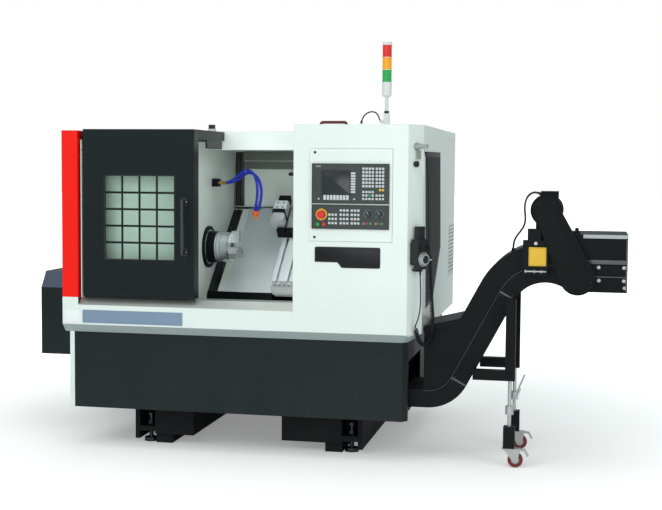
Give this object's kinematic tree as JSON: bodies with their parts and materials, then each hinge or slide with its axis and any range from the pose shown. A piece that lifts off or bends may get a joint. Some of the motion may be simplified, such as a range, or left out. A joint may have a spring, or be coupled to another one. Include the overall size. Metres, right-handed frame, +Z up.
{
  "type": "cnc turning lathe",
  "caption": "Slant-bed turning lathe with a sliding front door, swing-out control panel, tower light, jog pendant and hinged-belt chip conveyor on casters.",
  "frame": {"origin": "middle of the machine's footprint on the floor, conveyor included", "axes": "+Z up, -Y towards the operator, +X towards the chip conveyor's outlet"},
  "size_m": [3.178, 1.6373, 2.096],
  "materials": {
    "white": "satin",
    "dark": "satin",
    "charcoal": "satin",
    "red": "gloss",
    "stainless": "brushed",
    "steel": "ground",
    "chrome": "polished",
    "casting": "painted",
    "brass": "satin",
    "black_metal": "satin",
    "black_plastic": "matte",
    "grey_plastic": "matte",
    "glass": "clear",
    "blue_hose": "gloss",
    "orange": "gloss",
    "lens_red": "gloss",
    "lens_amber": "gloss",
    "lens_green": "gloss",
    "cable": "matte",
    "button_red": "gloss",
    "button_green": "gloss",
    "zinc": "zinc plated",
    "tread": "matte",
    "slat": "matte"
  },
  "bodies": {
    "machine": {"base_casting": "casting", "levelling_screws": "zinc", "bed_castings": "casting", "skirt_front": "dark", "casing_panels": "white", "right_housing": "white", "sill_rail": "stainless", "corner_post": "red", "motor_cover": "dark", "spindle_wall": "white", "rear_liner": "white", "chip_chute": "black_metal", "coolant_block": "brass", "coolant_hose_front": "blue_hose", "coolant_hose_back": "blue_hose", "coolant_nozzle": "orange", "tower_mast": "slat", "lens_red": "lens_red", "lens_amber": "lens_amber", "lens_green": "lens_green", "tower_cable": "cable", "pendant_holder": "black_plastic", "pendant_body": "black_plastic", "pendant_lead": "cable", "pendant_coil": "cable", "conveyor_body": "black_metal", "conveyor_cover": "black_metal", "drive_guard": "black_metal", "gear_motor": "black_metal", "motor_cable": "cable", "conveyor_legs": "black_metal"},
    "door": {"door_panel": "charcoal", "door_glass": "glass", "door_fittings": "black_plastic"},
    "spindle": {"spindle": "steel", "chuck_body": "chrome"},
    "jaw_1": {"chuck_jaw_1": "steel"},
    "jaw_2": {"chuck_jaw_2": "steel"},
    "jaw_3": {"chuck_jaw_3": "steel"},
    "z_carriage": {"saddle": "casting", "way_cover_moving": "stainless"},
    "middle_leaf": {"way_cover_middle": "stainless"},
    "x_carriage": {"cross_slide": "steel", "tool_post": "steel"},
    "control_panel": {"panel_frame": "charcoal", "display_unit": "grey_plastic", "key_panel": "grey_plastic"},
    "estop": {"estop_button": "button_red"},
    "start": {"start_button": "button_green"},
    "stop": {"stop_button": "button_red"},
    "feed": {"feed_knob": "black_plastic"},
    "speed": {"speed_knob": "black_plastic"},
    "cabinet": {"cabinet_door": "white"},
    "jog_wheel": {"pendant_wheel": "chrome"},
    "jog_knob_left": {"pendant_knob_left": "black_plastic"},
    "jog_knob_right": {"pendant_knob_right": "black_plastic"},
    "caster_front": {"caster_front": "zinc"},
    "caster_rear": {"caster_rear": "zinc"},
    "wheel_front": {"wheel_front": "tread"},
    "wheel_rear": {"wheel_rear": "tread"}
  },
  "joints": [
    {"name": "door_slide", "type": "slide", "parent": "machine", "child": "door", "axis": [1, 0, 0], "range_m": [0, 0.515]},
    {"name": "spindle_turn", "type": "hinge", "parent": "machine", "child": "spindle", "pos_m": [-0.644, -0.16865, 1.025], "axis": [1, 0, 0], "continuous": true},
    {"name": "jaw_1_slide", "type": "slide", "parent": "spindle", "child": "jaw_1", "axis": [0, 0, 1], "range_m": [-0.003, 0.003]},
    {"name": "jaw_2_slide", "type": "slide", "parent": "spindle", "child": "jaw_2", "axis": [0, -0.866, -0.5], "range_m": [-0.003, 0.003]},
    {"name": "jaw_3_slide", "type": "slide", "parent": "spindle", "child": "jaw_3", "axis": [0, 0.866, -0.5], "range_m": [-0.003, 0.003]},
    {"name": "z_slide", "type": "slide", "parent": "machine", "child": "z_carriage", "axis": [1, 0, 0], "range_m": [-0.07, 0.15]},
    {"name": "middle_leaf_slide", "type": "slide", "parent": "machine", "child": "middle_leaf", "axis": [1, 0, 0], "range_m": [-0.035, 0.075]},
    {"name": "x_slide", "type": "slide", "parent": "z_carriage", "child": "x_carriage", "axis": [0, 0.766, 0.6428], "range_m": [-0.15, 0.04]},
    {"name": "panel_hinge", "type": "hinge", "parent": "machine", "child": "control_panel", "pos_m": [0.4608, -0.77265, 1.333], "axis": [0, 0, 1], "range_deg": [0, 95]},
    {"name": "estop_press", "type": "slide", "parent": "control_panel", "child": "estop", "axis": [0, 1, 0], "range_m": [0, 0.005], "stiffness_N_per_m": 900},
    {"name": "start_press", "type": "slide", "parent": "control_panel", "child": "start", "axis": [0, 1, 0], "range_m": [0, 0.004], "stiffness_N_per_m": 400},
    {"name": "stop_press", "type": "slide", "parent": "control_panel", "child": "stop", "axis": [0, 1, 0], "range_m": [0, 0.004], "stiffness_N_per_m": 400},
    {"name": "feed_knob_turn", "type": "hinge", "parent": "control_panel", "child": "feed", "pos_m": [0.342, -0.78265, 1.242], "axis": [0, 1, 0], "range_deg": [-135, 135]},
    {"name": "speed_knob_turn", "type": "hinge", "parent": "control_panel", "child": "speed", "pos_m": [0.397, -0.78265, 1.242], "axis": [0, 1, 0], "range_deg": [-135, 135]},
    {"name": "cabinet_hinge", "type": "hinge", "parent": "machine", "child": "cabinet", "pos_m": [0.536, 0.79465, 1.16], "axis": [0, 0, -1], "range_deg": [0, 110]},
    {"name": "pendant_wheel_turn", "type": "hinge", "parent": "machine", "child": "jog_wheel", "pos_m": [0.61613, -0.76147, 1.024], "axis": [0.8022, -0.597, 0], "continuous": true},
    {"name": "pendant_knob_left_turn", "type": "hinge", "parent": "machine", "child": "jog_knob_left", "pos_m": [0.60419, -0.77751, 1.082], "axis": [0.8022, -0.597, 0], "range_deg": [-60, 60]},
    {"name": "pendant_knob_right_turn", "type": "hinge", "parent": "machine", "child": "jog_knob_right", "pos_m": [0.62807, -0.74543, 1.082], "axis": [0.8022, -0.597, 0], "range_deg": [-60, 60]},
    {"name": "caster_front_swivel", "type": "hinge", "parent": "machine", "child": "caster_front", "pos_m": [1.038, -0.66265, 0.09], "axis": [0, 0, 1], "continuous": true},
    {"name": "caster_rear_swivel", "type": "hinge", "parent": "machine", "child": "caster_rear", "pos_m": [1.038, -0.23965, 0.09], "axis": [0, 0, 1], "continuous": true},
    {"name": "wheel_front_roll", "type": "hinge", "parent": "caster_front", "child": "wheel_front", "pos_m": [1.07, -0.66265, 0.0375], "axis": [0, 1, 0], "continuous": true},
    {"name": "wheel_rear_roll", "type": "hinge", "parent": "caster_rear", "child": "wheel_rear", "pos_m": [1.07, -0.23965, 0.0375], "axis": [0, 1, 0], "continuous": true}
  ],
  "couplings": [
    {"joint": "jaw_2_slide", "follows": "jaw_1_slide", "ratio": 1},
    {"joint": "jaw_3_slide", "follows": "jaw_1_slide", "ratio": 1},
    {"joint": "middle_leaf_slide", "follows": "z_slide", "ratio": 0.5}
  ]
}
